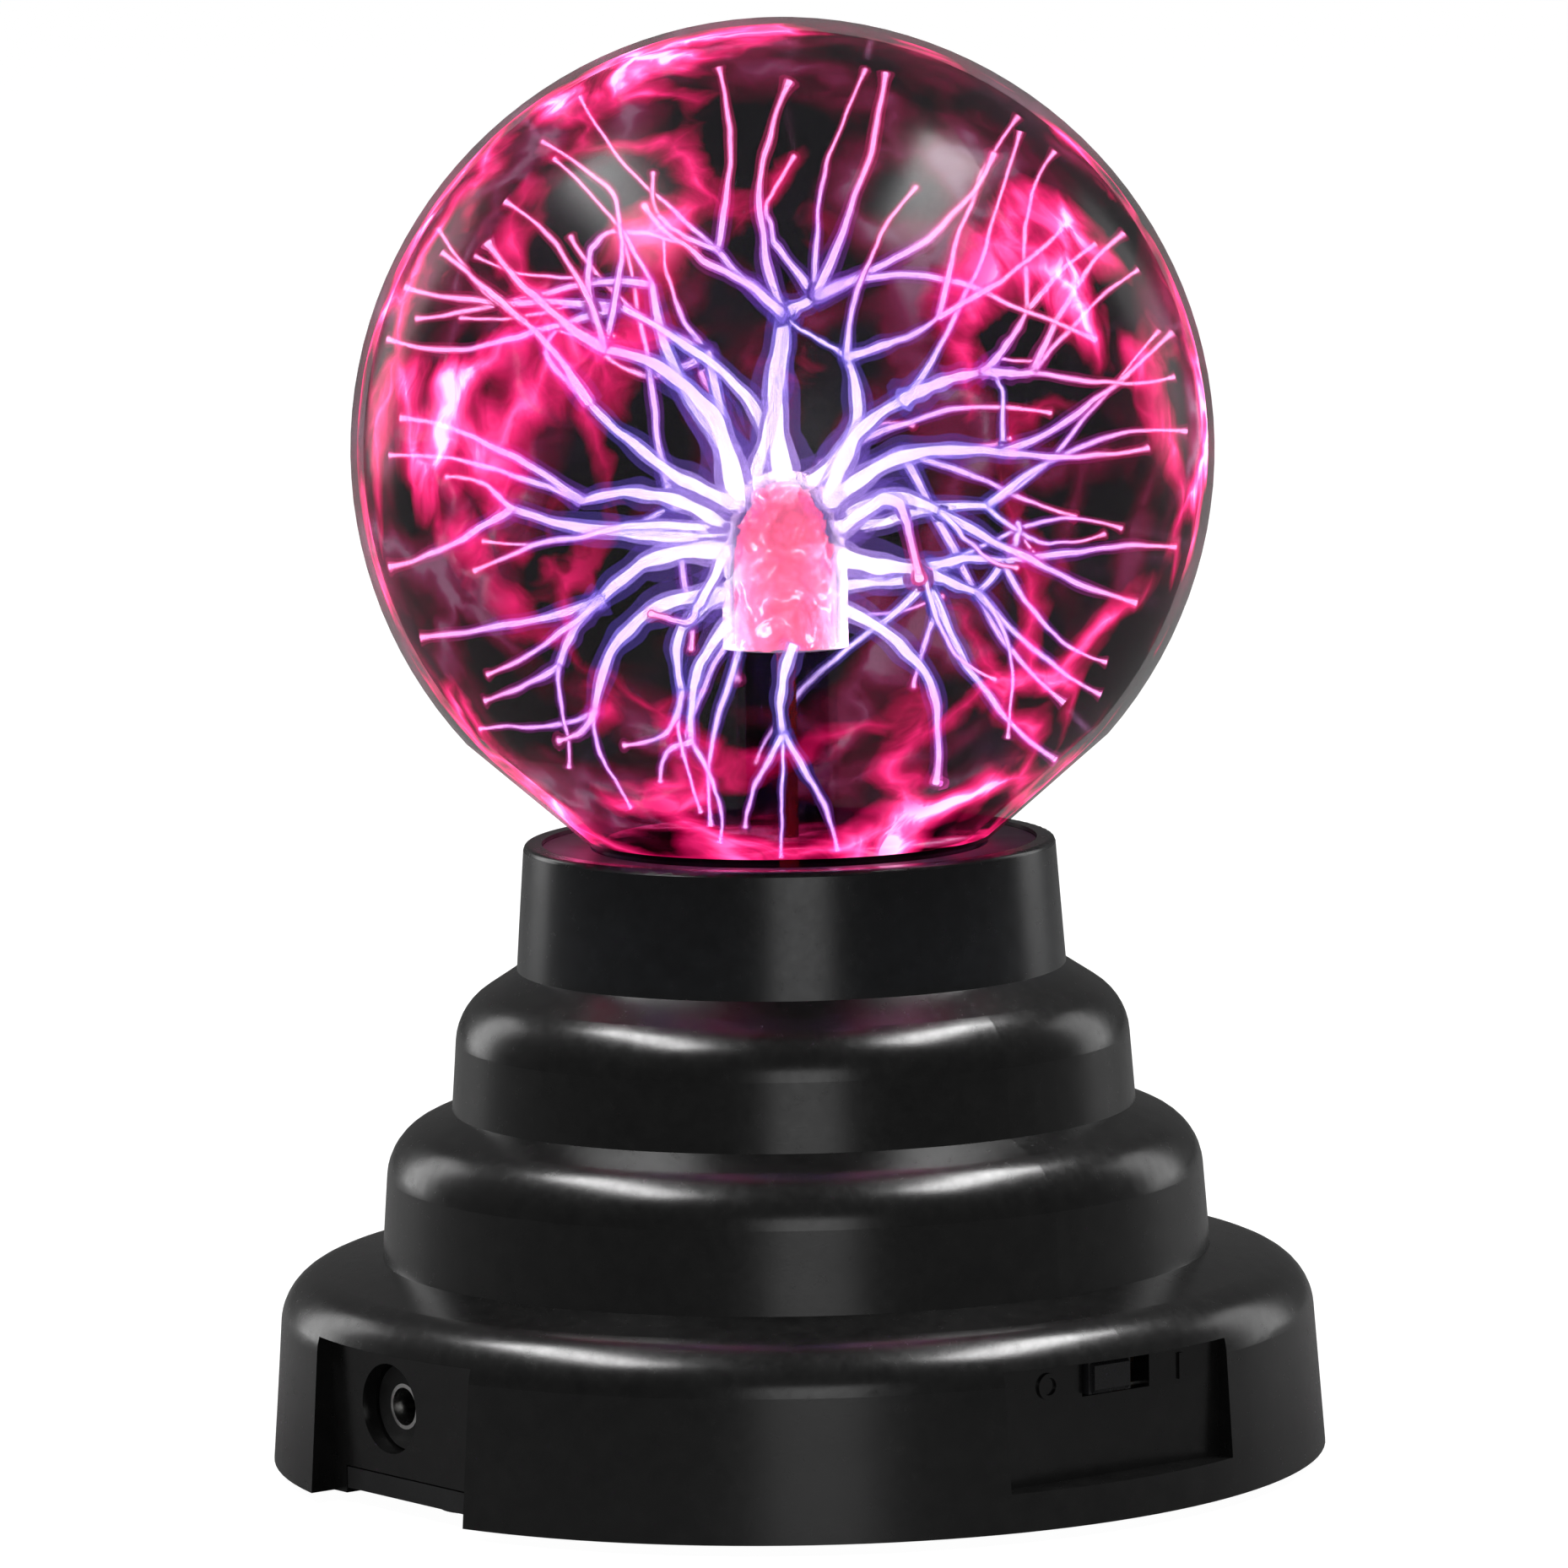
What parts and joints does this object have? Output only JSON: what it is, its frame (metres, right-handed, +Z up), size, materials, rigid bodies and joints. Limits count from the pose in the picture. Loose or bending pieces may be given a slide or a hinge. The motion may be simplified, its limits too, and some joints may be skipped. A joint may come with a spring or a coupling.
{
  "type": "plasma ball",
  "caption": "Plasma ball: clear glass globe with a central electrode on a stepped round black base with a slide switch, DC inlet and battery bay.",
  "frame": {"origin": "on the globe's axis, at the underside of the rubber feet", "axes": "+Z up along the globe's axis; the DC inlet faces -Y and the slide switch faces +X"},
  "size_m": [0.0984, 0.0972, 0.1345],
  "materials": {
    "black_abs": "polished black ABS moulding with a very fine grain",
    "ring_abs": "satin dark grey ABS",
    "cover_abs": "fine-textured black ABS",
    "knob_abs": "polished black ABS",
    "rubber": "matt black rubber",
    "globe_glass": "clear blown glass",
    "tube_glass": "clear drawn glass",
    "electrode_foil": "crumpled conductive foil and wool, lit pink by the discharge",
    "plasma": "glowing discharge filaments and haze",
    "silicone": "translucent white silicone",
    "lead_red": "red PVC insulation",
    "lead_black": "black PVC insulation",
    "board": "paper-phenolic circuit board",
    "ferrite": "sintered ferrite",
    "nylon": "off-white nylon",
    "copper_wire": "enamelled copper wire",
    "aluminium": "extruded aluminium",
    "epoxy_black": "black moulded epoxy",
    "capacitor_sleeve": "blue shrink sleeve",
    "capacitor_dip": "dipped red epoxy",
    "resistor_lacquer": "beige lacquer",
    "plated_metal": "bright nickel-plated steel and brass",
    "steel": "zinc-plated steel",
    "phenolic": "brown phenolic board",
    "contact_brass": "phosphor bronze",
    "cell_jacket": "plain foil-printed jacket on a steel can"
  },
  "bodies": {
    "base": {"upper_housing": "black_abs", "collar_ring": "ring_abs", "base_cover": "cover_abs", "rubber_feet": "rubber", "glass_globe": "globe_glass", "electrode_tube": "tube_glass", "electrode_wool": "electrode_foil", "exhaust_tip": "tube_glass", "neck_bond": "silicone", "high_voltage_lead": "lead_red", "driver_board": "board", "transformer_core": "ferrite", "transformer_bobbin": "nylon", "primary_winding": "copper_wire", "secondary_winding": "copper_wire", "power_transistor": "epoxy_black", "heat_sink": "aluminium", "reservoir_capacitor": "capacitor_sleeve", "film_capacitor": "capacitor_dip", "resistors": "resistor_lacquer", "rectifier_diode": "epoxy_black", "inlet_body": "epoxy_black", "inlet_sleeve": "plated_metal", "inlet_pin": "plated_metal", "inlet_tags": "plated_metal", "switch_frame": "plated_metal", "switch_base": "phenolic", "switch_terminals": "contact_brass", "dry_cells": "cell_jacket", "cell_springs": "plated_metal", "cell_contacts": "plated_metal", "cover_screws": "steel", "board_screws": "steel", "inlet_leads": "lead_red", "switch_leads": "lead_black", "cell_leads": "lead_red"},
    "switch_slider": {"switch_knob": "knob_abs", "switch_wiper": "contact_brass"},
    "door": {"battery_door": "cover_abs"}
  },
  "joints": [
    {"name": "switch_slide", "type": "slide", "parent": "base", "child": "switch_slider", "axis": [0, 1, 0], "range_m": [0, 0.0026]},
    {"name": "door_hinge", "type": "hinge", "parent": "base", "child": "door", "pos_m": [-0.002, 0.0258, 0.0027], "axis": [1, 0, 0], "range_deg": [0, 90]}
  ]
}
